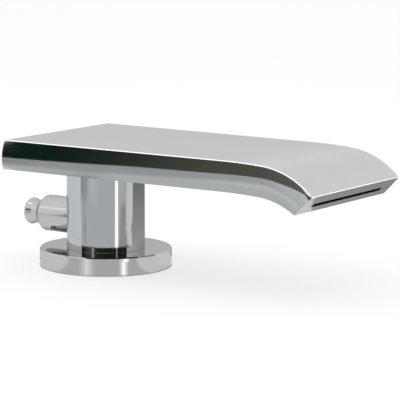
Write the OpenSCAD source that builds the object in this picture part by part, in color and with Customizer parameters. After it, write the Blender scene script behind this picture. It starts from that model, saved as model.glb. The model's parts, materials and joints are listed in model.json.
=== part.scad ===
// Deck-mounted waterfall bath spout: a flat plate-like spout with a bent tip and a slot
// outlet, on a round column with a base flange and a pull-out shower diverter knob.
// All sizes are in millimetres.
// The origin is the centre of the base flange's underside, on the deck.
// +X runs from the column to the spout's tip and +Z is up. The knob points along -X.

/* [Spout plate] */
// Height of the flat top face above the deck
top_height = 68.8; // [67:0.1:76]
// Thickness of the straight part
plate_thickness = 15.3; // [15:0.1:16.5]
// Width over the crowned sides, at the column's axis
plate_width = 91.1; // [90:0.1:100]
// How far each side leans in towards the tip, in degrees
side_taper = 0.8; // [0:0.05:1]
// From the column's axis to the back end
plate_back = 32.9; // [32:0.1:40]
// From the column's axis to the start of the bend
straight_length = 101.6; // [100:0.1:120]
// Radius of the gentle first part of the bend, on the top face
gentle_radius = 295; // [285:0.5:310]
// Radius of the tight second part of the bend, on the top face
tip_radius = 45; // [44:0.5:50]
// Angle of the tight second part of the bend, in degrees
tip_angle = 40.4; // [36:0.1:42]
// Radius of the tight part on the underside, larger so that the plate thins to the tip
under_tip_radius = 42.2; // [40:0.1:44]
// Radius of the outward crown on the sides and the back end
crown_radius = 38; // [30:1:60]
// Depth of the widest point of the crown below the top face
crown_depth = 9.5; // [8:0.1:11]
// Width of the small polished flat along the top's edges
edge_flat = 0.5; // [0.2:0.1:1]

/* [Spout shell and under plate] */
// Thickness of the shell's top
top_wall = 2; // [1.5:0.1:2.5]
// Inner edge of the shell's side walls, in from the widest point of the crown
side_wall = 3.2; // [2.8:0.1:4]
// Thickness of the shell's back wall, from the widest point of the crown
back_wall = 3.6; // [3:0.1:4]
// Angle the end wall takes up round the tight bend, in degrees
end_wall_angle = 4; // [3:0.1:5]
// Thickness of the plate that closes the shell from below
under_thickness = 2; // [1.6:0.1:2.2]
// Gap round parts that drop into place
fit_gap = 0.05; // [0.02:0.01:0.1]
// Radius of the screw bosses inside the shell
boss_radius = 3.5; // [3:0.1:4]
// Distance of the back screw bosses behind the column's axis
boss_back = 24; // [22:0.5:24.5]
// Position of the middle screw bosses along the spout
boss_middle = 28; // [26:1:50]
// Position of the front screw bosses along the spout
boss_front = 80; // [74:1:88]
// Boss centres in from the shell's inner side wall
boss_inset = 4.2; // [3.6:0.1:5]
// Shank radius of the under plate's screws
plate_screw_radius = 1.5; // [1.25:0.05:1.5]
// Head radius of the under plate's screws
plate_screw_head = 2.9; // [2.6:0.1:3.2]
// Length of the under plate's screws
plate_screw_length = 8; // [6:0.5:10]
// Depth of the hexagon socket in the under plate's screws
plate_screw_socket = 0.9; // [0.5:0.1:1.2]
// Height of the ring between the under plate and the channel, round the hollow bolt
spacer_height = 2.4; // [2.2:0.1:2.8]

/* [Water channel] */
// Depth of the lid's upper face below the top
lid_depth = 3.2; // [3:0.1:3.4]
// Thickness of the lid
lid_thickness = 1.4; // [1:0.1:1.6]
// Thickness of the gasket under the lid
lid_gasket_thickness = 0.6; // [0.4:0.1:0.8]
// Thickness of the channel's floor
floor_thickness = 1.2; // [1:0.1:1.2]
// Thickness of the channel's side walls
channel_wall = 1.6; // [1.4:0.1:2]
// Outer radius of the channel's round inlet end
inlet_end_radius = 19.5; // [19:0.1:21]
// Position along the spout where the fan is full
fan_end = 112; // [108:1:116]
// Gap between the channel and the shell's side walls at the outlet
channel_gap = 0.5; // [0.3:0.1:1]
// Gap between the channel and the front screw bosses
boss_gap = 1; // [0.6:0.1:1.5]
// Angle the outlet insert takes up behind the end wall, in degrees
insert_angle = 8; // [6:0.5:10]
// Position of the spreader wall along the spout
spreader_x = 48; // [40:1:55]
// Thickness of the spreader wall
spreader_thickness = 1.5; // [1.2:0.1:2]
// Radius of the spreader's holes
spreader_hole = 1.5; // [1:0.1:1.8]
// Distance between the spreader's holes
spreader_pitch = 5.4; // [4:0.1:7]
// Distance of the comb's far end before the bend
comb_gap = 1.6; // [1:0.1:6]
// Length of the comb
comb_length = 16; // [10:1:18]
// Thickness of the comb's base
comb_base = 0.8; // [0.5:0.1:1.2]
// Gap between the channel's walls and the pieces that stand in it
channel_play = 0.3; // [0.1:0.1:0.6]
// Distance between the comb's ribs
comb_pitch = 6; // [5:0.5:8]
// Thickness of the comb's ribs
comb_rib = 1.2; // [0.8:0.1:1.6]
// Radius of the channel's feet on the under plate
tray_foot = 3; // [2:0.5:4]
// Position of the channel's near feet along the spout
tray_foot_near = 60; // [50:1:66]
// Distance of the channel's far feet before the bend
tray_foot_gap = 6.6; // [4:0.1:10]
// Distance of the feet in from the channel's side
tray_foot_inset = 7.5; // [5:0.5:10]
// Radius of the rubber pads that press on the lid
pad_radius = 4; // [3:0.5:5]
// Distance of the back pad behind the column's axis
pad_back = 8; // [4:1:12]
// Position of the near pads along the spout
pad_near = 30; // [24:1:50]
// Position of the far pads along the spout
pad_far = 80; // [70:1:94]
// Distance of the near and far pads in from the channel's side
pad_inset = 12; // [8:0.5:14]

/* [Outlet slot] */
// Length of the slot in the end face
slot_length = 69.5; // [60:0.5:72]
// Height of the slot in the end face
slot_height = 2; // [1.6:0.1:2.4]
// Depth of the slot's middle line below the top edge of the end face
slot_depth = 7.8; // [7.4:0.1:8.2]
// How much smaller the insert's own slot is, all round
slot_step = 0.25; // [0.1:0.05:0.4]

/* [Column and base flange] */
// Outer radius of the column's sleeve
column_radius = 20.7; // [20.6:0.1:22]
// Wall of the column's sleeve
sleeve_wall = 1.7; // [1.5:0.1:1.8]
// Gap between the sleeve and the brass core inside it
core_gap = 0.3; // [0.2:0.05:0.4]
// Radius of the base flange
flange_radius = 35; // [34:0.5:40]
// Height of the base flange
flange_height = 9.7; // [9.5:0.1:11]
// Thickness of the base flange's top
flange_top = 2.2; // [1.8:0.1:2.5]
// Thickness of the base flange's rim
flange_rim = 2.6; // [2:0.1:3]
// Polished flat round the base flange's top edge
flange_edge = 0.6; // [0.3:0.1:1]
// Radius of the core's foot on the deck
foot_radius = 26; // [25:0.5:28]
// Height of the core's foot
foot_height = 4; // [3:0.5:5]
// Radius of the shoulder that carries the base flange's top
shoulder_radius = 22; // [21.5:0.5:24]
// Thickness of the ring seal under the base flange
deck_seal_thickness = 2; // [1.5:0.1:3]

/* [Water connections] */
// Inside radius of the inlet's threaded socket, for a G3/8 hose tail
inlet_radius = 8.33; // [8.33:0.01:8.4]
// Depth of the inlet's socket
inlet_socket = 12; // [10:0.5:12]
// Position of the inlet's socket on X
inlet_x = -4.5; // [-5:0.1:-4.4]
// Length of the way from the inlet's socket up to the valve
inlet_way_length = 4.8; // [4:0.1:4.9]
// Width of the way from the inlet's socket up to the valve
inlet_way_width = 10; // [8:0.5:12]
// Gap between that way and the outlet seat
inlet_way_gap = 0.2; // [0.1:0.05:0.4]
// Inside radius of the hand shower's threaded socket, for an M12 hose tail
shower_radius = 6; // [5:0.1:6]
// Depth of the hand shower's socket
shower_socket = 10; // [8:0.5:12]
// Position of the hand shower's socket on X
shower_x = 11; // [11:0.1:11.4]
// Radius of the way from the valve down to the hand shower's socket
shower_way = 3; // [2.5:0.1:3.2]
// Radius of the two stud holes in the foot, for M6 studs
stud_radius = 2.5; // [2.5:0.1:3]
// Depth of the stud holes
stud_depth = 12; // [8:1:14]
// Distance of each stud hole from the column's axis
stud_offset = 14.5; // [14:0.1:15]

/* [Riser joint] */
// Radius of the hollow bolt's thread in the core
bolt_radius = 12; // [11.5:0.1:12.5]
// Radius of the water way through the hollow bolt
bolt_bore = 8.5; // [8:0.1:9]
// Radius of the hollow bolt's head
bolt_head_radius = 15; // [14:0.5:16]
// Thickness of the hollow bolt's head
bolt_head = 2; // [1.5:0.1:2.4]
// Width of the key slot across the hollow bolt's head
key_width = 3; // [2:0.1:4]
// Depth of the key slot across the hollow bolt's head
key_depth = 1.2; // [0.8:0.1:1.4]
// Length of the hollow bolt below its head
bolt_length = 15.6; // [15:0.1:16]
// Space below the hollow bolt's end
bolt_end_gap = 1.3; // [0.5:0.1:1.6]
// Radius of the space under the hollow bolt
plenum_radius = 11; // [10:0.1:11.5]
// Depth of the space under the hollow bolt
plenum_depth = 5; // [4:0.1:6]
// Width of the way up from the valve to that space
riser_width = 9; // [7:0.5:10]
// Thickness of the washer under the hollow bolt's head
bolt_washer_thickness = 0.8; // [0.5:0.1:1]
// Section radius of the ring seal round the hollow bolt
riser_ring_section = 0.9; // [0.7:0.1:1]
// Radius of the two locating pins between core and under plate
pin_radius = 1.5; // [1:0.1:1.5]
// Length of the locating pins
pin_length = 7; // [6:0.5:8]

/* [Diverter] */
// Height of the diverter's axis
diverter_height = 24.3; // [23:0.1:26]
// How far the knob pulls out
travel = 8; // [5:0.5:8]
// Bottom of the core's bore, beyond the column's axis
chamber_end = 8; // [8:0.1:8.4]
// Radius of the hole in each valve seat
seat_hole = 5.2; // [5:0.1:5.4]
// End of the way to the hand shower, beyond the column's axis
shower_way_end = 15.5; // [15:0.1:15.6]
// Thickness of the outlet seat's wall
cage_seat = 1.5; // [1.2:0.1:1.6]
// Wall of the cage round the valve
cage_wall = 1.35; // [1:0.05:1.5]
// Width of the cage's windows
window_width = 9; // [7:0.5:10]
// Length of the cage's windows
window_length = 4.6; // [3.5:0.1:5]
// Distance of the windows from the outlet seat's wall
window_gap = 0.8; // [0.6:0.1:1]
// Distance of the gland's inner end from the column's axis
gland_start = 11; // [10.8:0.1:11.2]
// Length of the gland
gland_length = 3.5; // [3.4:0.1:3.6]
// Depth of the flat in the core that the bonnet seats on
bonnet_flat = 0.7; // [0.6:0.1:1]
// Gap round the bonnet on that flat
flat_gap = 1; // [0.6:0.1:1.4]
// Width of the bonnet's ring-shaped seat
bonnet_lip = 0.67; // [0.5:0.01:0.7]
// Wall of the bonnet's spigot in the core
spigot_wall = 1.75; // [1.2:0.05:1.8]
// Thickness of the spigot's end behind the spring room
spigot_step = 1.5; // [1:0.1:1.6]
// Outer radius of the bonnet
bonnet_radius = 9.67; // [9.6:0.01:9.8]
// Distance at which the bonnet's cone starts
bonnet_cone_start = 38.3; // [38:0.1:41]
// Distance of the bonnet's outer end
bonnet_end = 42; // [41.5:0.1:44.5]
// Width of the bonnet's outer end round the knob
bonnet_nose_width = 0.65; // [0.4:0.05:1]
// Wall of the bonnet round the spring
bonnet_wall = 1.47; // [1.2:0.01:1.5]
// Distance at which the bonnet's spring room ends
spring_room_end = 38; // [37.5:0.1:40]
// Gap between the spring and the knob's neck inside it
neck_gap = 0.5; // [0.3:0.05:0.6]
// Running gap round the knob's neck and the spindle
running_gap = 0.05; // [0.03:0.01:0.1]
// Radius of the knob's flared rim
knob_rim = 7.15; // [6.8:0.05:8]
// Distance at which the knob starts to flare
knob_flare_start = 45.3; // [45:0.1:47.5]
// Distance of the knob's rim
knob_rim_at = 48.4; // [48:0.1:50]
// Distance of the knob's outer end
knob_end = 50.3; // [50:0.1:53]
// Radius of the rounding on the knob's outer end
knob_rounding = 1.7; // [1:0.1:2.2]
// Distance of the knob's inner end
knob_start = 30; // [29.5:0.5:31]
// Radius of the spindle
spindle_radius = 3; // [2.8:0.1:3]
// Radius of the spindle's threaded ends
spindle_thread = 2.5; // [2.4:0.1:2.5]
// Distance at which the spindle's outer thread starts
thread_start = 39; // [38:0.5:41]
// Distance at which the spindle's outer thread ends
thread_end = 45; // [44:0.5:47]
// Length of the spindle beyond the valve's nut
thread_spare = 0.95; // [0.5:0.05:1.2]
// Radius of the spindle's land that the valve's washer rests on
land_radius = 4.2; // [3.8:0.1:4.6]
// Length of that land
land_length = 1.5; // [1:0.1:2]
// Section radius of the two ring seals in the gland
seal_section = 0.7; // [0.5:0.05:0.8]
// Radius of the valve's disc and washers
valve_radius = 7.2; // [6.8:0.1:7.6]
// Thickness of the valve's disc
disc_thickness = 1.1; // [1:0.1:1.4]
// Thickness of each of the valve's two washers
valve_washer_thickness = 0.9; // [0.8:0.1:1]
// Radius of the valve's hexagon nut, over its corners
nut_radius = 4.4; // [4:0.1:4.6]
// Height of the valve's nut
nut_height = 2.6; // [2:0.1:2.8]
// Gap left at each seat
seat_gap = 0.05; // [0.03:0.01:0.1]
// Gap round the collar that the spring presses on
collar_gap = 0.3; // [0.2:0.05:0.4]
// Distance of the collar's spring side
collar_at = 22; // [21.8:0.1:22.5]
// Thickness of the collar
collar_thickness = 1.5; // [1:0.1:1.5]
// Outer radius of the clip behind the collar
clip_radius = 5; // [4.5:0.1:5.5]
// Thickness of the clip
clip_thickness = 0.8; // [0.6:0.1:0.9]
// Radius of the spindle's groove for the clip
clip_groove = 2.4; // [2.2:0.05:2.5]
// Width of the clip's mouth
clip_mouth = 2.8; // [2:0.1:3.2]
// Radius of the spring's wire
wire_radius = 0.5; // [0.4:0.05:0.5]
// Gap round the spring
spring_gap = 0.4; // [0.3:0.05:0.5]
// Number of the spring's turns
spring_turns = 5; // [4:1:6]

/* [Hidden] */
// A little extra for cuts that run past a face
past = 1;
// Facets of the circles that OpenSCAD draws
$fn = 96;

plate_half = plate_width / 2;
crown_inner = plate_half - side_wall;
// Outward direction where the gentle bend meets the tight one, in side view. Its two
// round numbers make a unit length, so that both bends meet at exact coordinates.
joint_dir = [0.07584, 0.99712];
gentle_angle = atan2(joint_dir.x, joint_dir.y);
tip_total = gentle_angle + tip_angle;
under_height = top_height - plate_thickness;
under_top = under_height + under_thickness;
sleeve_bore = column_radius - sleeve_wall;
core_radius = sleeve_bore - core_gap;
pin_offset = (bolt_radius + core_radius) / 2;
gasket_depth = lid_depth + lid_thickness;
rim_depth = gasket_depth + lid_gasket_thickness;
tray_depth = plate_thickness - under_thickness - spacer_height;
floor_depth = tray_depth - floor_thickness;
stand_height = floor_depth - gasket_depth;
comb_x = straight_length - comb_gap - comb_length;
washer_top = top_height - floor_depth + bolt_washer_thickness;
plenum_top = washer_top - bolt_length - bolt_end_gap;
end_wall = tip_radius * sin(end_wall_angle);
insert_end = tip_angle - end_wall_angle;
insert_start = insert_end - insert_angle;
valve_stack = disc_thickness + 2 * valve_washer_thickness;
valve_face = chamber_end - seat_gap;
valve_back = valve_face - valve_stack;
cage_start = travel + seat_gap - valve_back;
bonnet_seat = core_radius - bonnet_flat;
chamber_radius = bonnet_radius - bonnet_lip;
spring_room = bonnet_radius - bonnet_wall;
spring_radius = spring_room - spring_gap - wire_radius;
knob_neck = spring_radius - wire_radius - neck_gap;
collar_back = collar_at - collar_thickness;
seal_at = gland_start + gland_length / 2;
boss_xs = [-boss_back, boss_middle, boss_front];
shell_depth = 22;
view_reach = 400;
crown_above = 7;
crown_below = 24;

// Centre of the gentle bend, in side view.
gentle_centre = [straight_length, top_height - gentle_radius];
// Centre of the tight bend, in side view.
tip_centre = gentle_centre + (gentle_radius - tip_radius) * joint_dir;
// Outward direction of the end face's upper edge, in side view.
end_dir = [sin(tip_total), cos(tip_total)];
// Upper edge of the end face, in side view.
tip_point = tip_centre + tip_radius * end_dir;

// Inner half width of the shell at a place along the spout.
function shell_half(x) = crown_inner - x * tan(side_taper);

// Distance of a screw boss from the middle of the spout.
function boss_y(x) = shell_half(x) - boss_inset;

// Outer half width of the channel at the front bosses and at the outlet.
fan_waist = boss_y(boss_front) - boss_radius - boss_gap;
fan_half_width = shell_half(tip_point.x) - channel_gap;

// Outer half width of the channel at a place along the spout.
function fan_half(x) = x < boss_front
    ? inlet_end_radius + (fan_waist - inlet_end_radius) * x / boss_front
    : fan_waist + (fan_half_width - fan_waist) * (x - boss_front) / (fan_end - boss_front);

// Side view helpers: X runs along the spout and Y is height.

// Wedge with its point at the origin, between two angles counted from straight up.
module wedge(from, to) {
    mid = (from + to) / 2;
    polygon([
        [0, 0],
        view_reach * [sin(from), cos(from)],
        view_reach * [sin(mid), cos(mid)],
        view_reach * [sin(to), cos(to)]
    ]);
}

// Part of a ring between two radii and two angles.
module bend(outer, inner, from, to) {
    intersection() {
        difference() {
            circle(r = outer);
            circle(r = inner);
        }
        wedge(from, to);
    }
}

// Layer of the spout between two depths below the top face.
module layer(upper, lower, from, reach) {
    translate([from, top_height - lower])
        square([straight_length - from, lower - upper]);
    translate(gentle_centre)
        bend(gentle_radius - upper, gentle_radius - lower, 0, gentle_angle);
    translate(tip_centre)
        bend(tip_radius - upper, tip_radius - lower, gentle_angle, gentle_angle + reach);
}

// Layer measured up from the underside, which has its own tighter bend.
module under_layer(upper, lower, from, reach) {
    gentle = gentle_radius - plate_thickness;
    translate([from, under_height + lower])
        square([straight_length - from, upper - lower]);
    translate(gentle_centre)
        bend(gentle + upper, gentle + lower, 0, gentle_angle);
    translate(gentle_centre + (gentle - under_tip_radius) * joint_dir)
        bend(
            under_tip_radius + upper, under_tip_radius + lower,
            gentle_angle, gentle_angle + reach
        );
}

// Everything inside the back wall and the end wall, less a gap.
module inside_view(gap) {
    back = -plate_back + back_wall + gap;
    end_angle = gentle_angle + insert_end - gap;
    polygon([
        [back, 0],
        [back, 2 * top_height],
        tip_centre + 2 * top_height * [sin(end_angle), cos(end_angle)],
        tip_centre,
        [tip_centre.x, 0]
    ]);
}

// Everything beyond the polished flat of an edge at the origin, which points along +X.
module edge_cut() {
    translate([-edge_flat / 2, -view_reach])
        square(2 * view_reach);
}

// Room for the crowned back end, with its polished flat along the top edge.
module back_end_view() {
    back_inset = crown_radius - sqrt(crown_radius^2 - crown_depth^2);
    difference() {
        union() {
            translate([crown_radius - plate_back, top_height - crown_depth])
                circle(r = crown_radius);
            translate([0, -view_reach])
                square(2 * view_reach);
        }
        translate([back_inset - plate_back, top_height])
            rotate(135)
                edge_cut();
    }
}

// Extrudes a side view across the spout.
module across(width) {
    rotate([90, 0, 0])
        linear_extrude(height = width, center = true)
            children();
}

// Turns a shape drawn outwards along +Z so that it points along the knob.
module on_diverter() {
    translate([0, 0, diverter_height])
        rotate([0, -90, 0])
            children();
}

// Places a shape at the upper edge of the end face: +X leaves the face, +Z is up the face.
module at_tip() {
    translate([tip_point.x, 0, tip_point.y])
        rotate([0, tip_total, 0])
            children();
}

// Places a shape at each screw boss.
module at_bosses() {
    for (x = boss_xs)
        for (side = [-1, 1])
            translate([x, side * boss_y(x), 0])
                children();
}

// Outer shape of the spout.

// Section of the crowned side: X is height over the top face and Y is outward.
module side_section() {
    inset = crown_radius - sqrt(crown_radius^2 - crown_depth^2);
    difference() {
        union() {
            intersection() {
                translate([-crown_depth, plate_half - crown_radius])
                    circle(r = crown_radius);
                translate([-crown_below, plate_half - crown_radius])
                    square([crown_below + crown_above, 2 * crown_radius]);
            }
            translate([-crown_below, -plate_width])
                square([crown_below + crown_above, plate_width + plate_half - crown_radius / 2]);
        }
        translate([0, plate_half - inset])
            rotate(45)
                edge_cut();
    }
}

// Bend of the side section round one centre.
module side_bend(centre, radius, from, angle) {
    translate([centre.x, 0, centre.y])
        rotate([0, from, 0])
            rotate([-90, -90, 0])
                rotate_extrude(angle = angle)
                    translate([radius, 0])
                        side_section();
}

// Gentle bend of the side section, cut off where the tight bend starts.
module side_gentle_bend() {
    intersection() {
        side_bend(gentle_centre, gentle_radius, 0, 2 * gentle_angle);
        translate([gentle_centre.x, 0, gentle_centre.y])
            across(4 * plate_width)
                wedge(-gentle_angle, gentle_angle);
    }
}

// Everything inside one crowned side of the spout, leaning in by the taper.
module side_form() {
    translate([0, plate_half, 0])
        rotate([0, 0, -side_taper])
            translate([0, -plate_half, 0])
                union() {
                    translate([straight_length, 0, top_height])
                        rotate([0, -90, 0])
                            linear_extrude(height = straight_length + 2 * plate_back)
                                side_section();
                    side_gentle_bend();
                    side_bend(tip_centre, tip_radius, gentle_angle, tip_angle + past);
                }
}

// The spout's whole outer shape, as if it were solid.
module spout_form() {
    intersection() {
        across(plate_width + 2 * past)
            intersection() {
                difference() {
                    layer(0, shell_depth, -plate_back, tip_angle);
                    under_layer(0, -shell_depth, -plate_back - past, tip_angle + 9);
                }
                back_end_view();
            }
        side_form();
        mirror([0, 1, 0])
            side_form();
    }
}

// Upright block with the plan shape of the shell's hollow, less a gap.
module hollow_plan(gap) {
    back = -plate_back - past;
    front = tip_point.x + past;
    wide = shell_half(back) - gap;
    narrow = shell_half(front) - gap;
    linear_extrude(height = top_height + past)
        polygon([[back, -wide], [front, -narrow], [front, narrow], [back, wide]]);
}

// Spout shell: top, sides, back and end face in one piece, open below.
module spout_shell() {
    color("silver")
        difference() {
            union() {
                difference() {
                    spout_form();
                    intersection() {
                        across(plate_width)
                            intersection() {
                                layer(top_wall, shell_depth + past, -plate_back, tip_angle);
                                inside_view(0);
                            }
                        hollow_plan(0);
                    }
                }
                at_bosses()
                    translate([0, 0, under_top])
                        cylinder(r = boss_radius, h = top_height - top_wall / 2 - under_top);
            }
            at_bosses()
                translate([0, 0, under_height - past])
                    cylinder(r = plate_screw_radius, h = plate_screw_length + past);
            at_tip()
                translate([0, 0, -slot_depth])
                    slot_cut(slot_length, slot_height, end_wall + past);
        }
}

// Round-ended cut that goes this deep behind the end face, in the outlet's direction.
module slot_cut(length, height, depth) {
    between = length - height;
    translate([-depth, -between / 2, -height / 2])
        cube([depth + past, between, height]);
    for (side = [-1, 1])
        translate([-depth, side * between / 2, 0])
            rotate([0, 90, 0])
                cylinder(d = height, h = depth + past);
}

// Under plate: closes the shell from below.
module under_plate() {
    color("gainsboro")
        difference() {
            intersection() {
                across(plate_width)
                    intersection() {
                        under_layer(under_thickness, 0, -plate_back, tip_angle);
                        inside_view(fit_gap);
                    }
                hollow_plan(fit_gap);
            }
            translate([0, 0, under_height - past])
                cylinder(r = bolt_radius + running_gap, h = under_thickness + 2 * past);
            for (side = [-1, 1])
                translate([0, side * pin_offset, under_height - past])
                    cylinder(r = pin_radius, h = under_thickness + 2 * past);
            at_bosses()
                translate([0, 0, under_height - past]) {
                    cylinder(r = plate_screw_radius, h = under_thickness + 2 * past);
                    translate([0, 0, past])
                        screw_cone();
                }
        }
}

// Countersunk head of an under plate screw, with its face at z = 0.
module screw_cone() {
    cylinder(
        r1 = plate_screw_head, r2 = plate_screw_radius,
        h = plate_screw_head - plate_screw_radius
    );
}

// Countersunk screws that hold the under plate to the shell's bosses.
module under_plate_screws() {
    hex_radius = plate_screw_head / 2;
    color("silver")
        at_bosses()
            translate([0, 0, under_height])
                difference() {
                    union() {
                        screw_cone();
                        cylinder(r = plate_screw_radius, h = plate_screw_length);
                    }
                    translate([0, 0, -past])
                        cylinder(r = hex_radius, h = past + plate_screw_socket, $fn = 6);
                }
}

// Plan of the fan-shaped water channel, less a wall.
module fan_plan(wall) {
    xs = [0, boss_front, fan_end, tip_point.x];
    halves = [inlet_end_radius, fan_waist, fan_half_width, fan_half_width];
    right = [for (i = [0:3]) [xs[i], wall - halves[i]]];
    left = [for (i = [3:-1:0]) [xs[i], halves[i] - wall]];
    linear_extrude(height = top_height + past) {
        circle(r = inlet_end_radius - wall);
        polygon(concat(right, left));
    }
}

// Layer of the water channel between two depths, less a wall all round.
module fan_layer(upper, lower, wall) {
    intersection() {
        across(plate_width)
            layer(upper, lower, -plate_back + back_wall, insert_start);
        fan_plan(wall);
    }
}

// Lower half of the water channel, with feet on the under plate.
module channel_tray() {
    color("dimgray")
        difference() {
            union() {
                fan_layer(rim_depth, tray_depth, 0);
                for (x = [tray_foot_near, straight_length - tray_foot_gap])
                    for (side = [-1, 1])
                        translate([x, side * (fan_half(x) - tray_foot_inset), under_top])
                            cylinder(r = tray_foot, h = spacer_height + floor_thickness / 2);
            }
            intersection() {
                across(plate_width)
                    layer(
                        rim_depth - past, floor_depth,
                        -plate_back + back_wall, tip_angle
                    );
                fan_plan(channel_wall);
            }
            translate([0, 0, under_height])
                cylinder(r = bolt_radius + running_gap, h = plate_thickness);
        }
}

// Flat gasket between the channel's tray and lid.
module channel_gasket() {
    color("black")
        difference() {
            fan_layer(gasket_depth, rim_depth, 0);
            intersection() {
                across(plate_width)
                    layer(
                        gasket_depth - past, rim_depth + past,
                        -plate_back + back_wall, tip_angle
                    );
                fan_plan(channel_wall);
            }
        }
}

// Upper half of the water channel.
module channel_lid() {
    color("dimgray")
        fan_layer(lid_depth, gasket_depth, 0);
}

// Rubber pads that press the lid down when the shell goes on.
module lid_pads() {
    color("black")
        translate([0, 0, top_height - lid_depth]) {
            translate([-pad_back, 0, 0])
                cylinder(r = pad_radius, h = lid_depth - top_wall);
            for (x = [pad_near, pad_far])
                for (side = [-1, 1])
                    translate([x, side * (fan_half(x) - pad_inset), 0])
                        cylinder(r = pad_radius, h = lid_depth - top_wall);
        }
}

// Perforated wall that spreads the stream over the channel's width.
module flow_spreader() {
    half = fan_half(spreader_x) - channel_wall - channel_play;
    count = floor((half - 2 * spreader_hole) / spreader_pitch);
    color("dimgray")
        translate([spreader_x, 0, top_height - floor_depth])
            difference() {
                translate([0, -half, 0])
                    cube([spreader_thickness, 2 * half, stand_height]);
                for (i = [-count:count])
                    translate([-past, i * spreader_pitch, stand_height / 2])
                        rotate([0, 90, 0])
                            cylinder(r = spreader_hole, h = spreader_thickness + 2 * past);
            }
}

// Comb that straightens the stream before the bend.
module flow_comb() {
    room = fan_half(comb_x) - channel_wall - channel_play - comb_rib / 2;
    ribs = floor(room / comb_pitch);
    half = ribs * comb_pitch + comb_rib / 2;
    color("dimgray")
        translate([comb_x, 0, top_height - floor_depth]) {
            translate([0, -half, 0])
                cube([comb_length, 2 * half, comb_base]);
            for (i = [-ribs:ribs])
                translate([0, i * comb_pitch - comb_rib / 2, 0])
                    cube([comb_length, comb_rib, stand_height]);
        }
}

// Black outlet insert behind the end wall, with the slot that forms the sheet of water.
module nozzle_insert() {
    color("black")
        difference() {
            intersection() {
                across(2 * fan_half_width)
                    layer(lid_depth, tray_depth, straight_length - past, insert_end);
                translate([tip_centre.x, 0, tip_centre.y])
                    across(2 * plate_width)
                        wedge(gentle_angle + insert_start, gentle_angle + insert_end);
            }
            at_tip()
                translate([0, 0, -slot_depth])
                    slot_cut(
                        slot_length - 2 * slot_step, slot_height - 2 * slot_step,
                        floor_depth
                    );
        }
}

// Joint between spout and column.

// Hollow bolt that clamps the channel's floor and the under plate on the core.
module hollow_bolt() {
    color("goldenrod")
        difference() {
            union() {
                translate([0, 0, washer_top])
                    cylinder(r = bolt_head_radius, h = bolt_head);
                translate([0, 0, washer_top - bolt_length])
                    cylinder(r = bolt_radius, h = bolt_length + past);
            }
            translate([0, 0, washer_top - bolt_length - past])
                cylinder(r = bolt_bore, h = bolt_length + bolt_head + 2 * past);
            translate([0, 0, washer_top + bolt_head])
                cube([key_width, 3 * bolt_head_radius, 2 * key_depth], center = true);
            riser_groove();
        }
}

// Groove round the hollow bolt for its ring seal.
module riser_groove() {
    translate([0, 0, under_height - 2 * riser_ring_section])
        rotate_extrude()
            translate([bolt_radius - riser_ring_section, 0])
                square(2 * riser_ring_section, center = true);
}

// Ring of round section round the Z axis.
module ring_seal(radius, section) {
    rotate_extrude()
        translate([radius, 0])
            circle(r = section, $fn = 48);
}

// Ring seal between the hollow bolt and the core.
module riser_o_ring() {
    color("black")
        translate([0, 0, under_height - 2 * riser_ring_section])
            ring_seal(bolt_radius - riser_ring_section, riser_ring_section);
}

// Fibre washer under the hollow bolt's head.
module bolt_washer() {
    color("firebrick")
        translate([0, 0, washer_top - bolt_washer_thickness])
            flat_ring(bolt_head_radius, bolt_radius + running_gap, bolt_washer_thickness);
}

// Ring that fills the space between the channel's floor and the under plate.
module spacer_ring() {
    color("goldenrod")
        translate([0, 0, under_top])
            flat_ring(pin_offset + 2 * pin_radius, bolt_radius + running_gap, spacer_height);
}

// Pins that stop the spout from turning on the column.
module locating_pins() {
    color("silver")
        for (side = [-1, 1])
            translate([0, side * pin_offset, under_top - pin_length])
                cylinder(r = pin_radius, h = pin_length);
}

// Column and base.

// Polished tube round the core.
module column_sleeve() {
    color("silver")
        difference() {
            translate([0, 0, flange_height])
                cylinder(r = column_radius, h = under_height - flange_height);
            translate([0, 0, flange_height - past])
                cylinder(r = sleeve_bore, h = under_height);
            on_diverter()
                cylinder(r = bonnet_radius + fit_gap, h = 2 * column_radius);
        }
}

// Brass core: water ways, diverter bore, thread for the hollow bolt and the foot on the deck.
module column_core() {
    foot_step = flange_height - flange_top;
    riser_length = gland_start - cage_start - cage_seat;
    shower_way_x = (chamber_end + shower_way_end) / 2;
    color("goldenrod")
        difference() {
            union() {
                cylinder(r = core_radius, h = under_height);
                cylinder(r = foot_radius, h = foot_height);
                cylinder(r = shoulder_radius, h = foot_step);
            }
            on_diverter() {
                translate([0, 0, -chamber_end])
                    cylinder(r = chamber_radius, h = 2 * core_radius);
                translate([0, 0, -shower_way_end])
                    cylinder(r = seat_hole, h = shower_way_end);
                translate([0, 0, bonnet_seat])
                    cylinder(r = bonnet_radius + flat_gap, h = core_radius);
            }
            translate([-gland_start, -riser_width / 2, diverter_height])
                cube([riser_length, riser_width, plenum_top - diverter_height]);
            translate([0, 0, plenum_top - plenum_depth])
                cylinder(r = plenum_radius, h = plenum_depth + past);
            translate([0, 0, plenum_top])
                cylinder(r = bolt_radius, h = under_height);
            translate([inlet_x, 0, -past])
                cylinder(r = inlet_radius, h = inlet_socket + past);
            translate([inlet_way_gap - cage_start, -inlet_way_width / 2, inlet_socket - past])
                cube([inlet_way_length, inlet_way_width, diverter_height - inlet_socket]);
            translate([shower_x, 0, -past])
                cylinder(r = shower_radius, h = shower_socket + past);
            translate([shower_way_x, 0, shower_socket - past])
                cylinder(r = shower_way, h = diverter_height - shower_socket + past);
            for (side = [-1, 1]) {
                translate([0, side * stud_offset, -past])
                    cylinder(r = stud_radius, h = stud_depth + past);
                translate([0, side * pin_offset, under_top - pin_length])
                    cylinder(r = pin_radius, h = pin_length);
            }
        }
}

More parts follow.
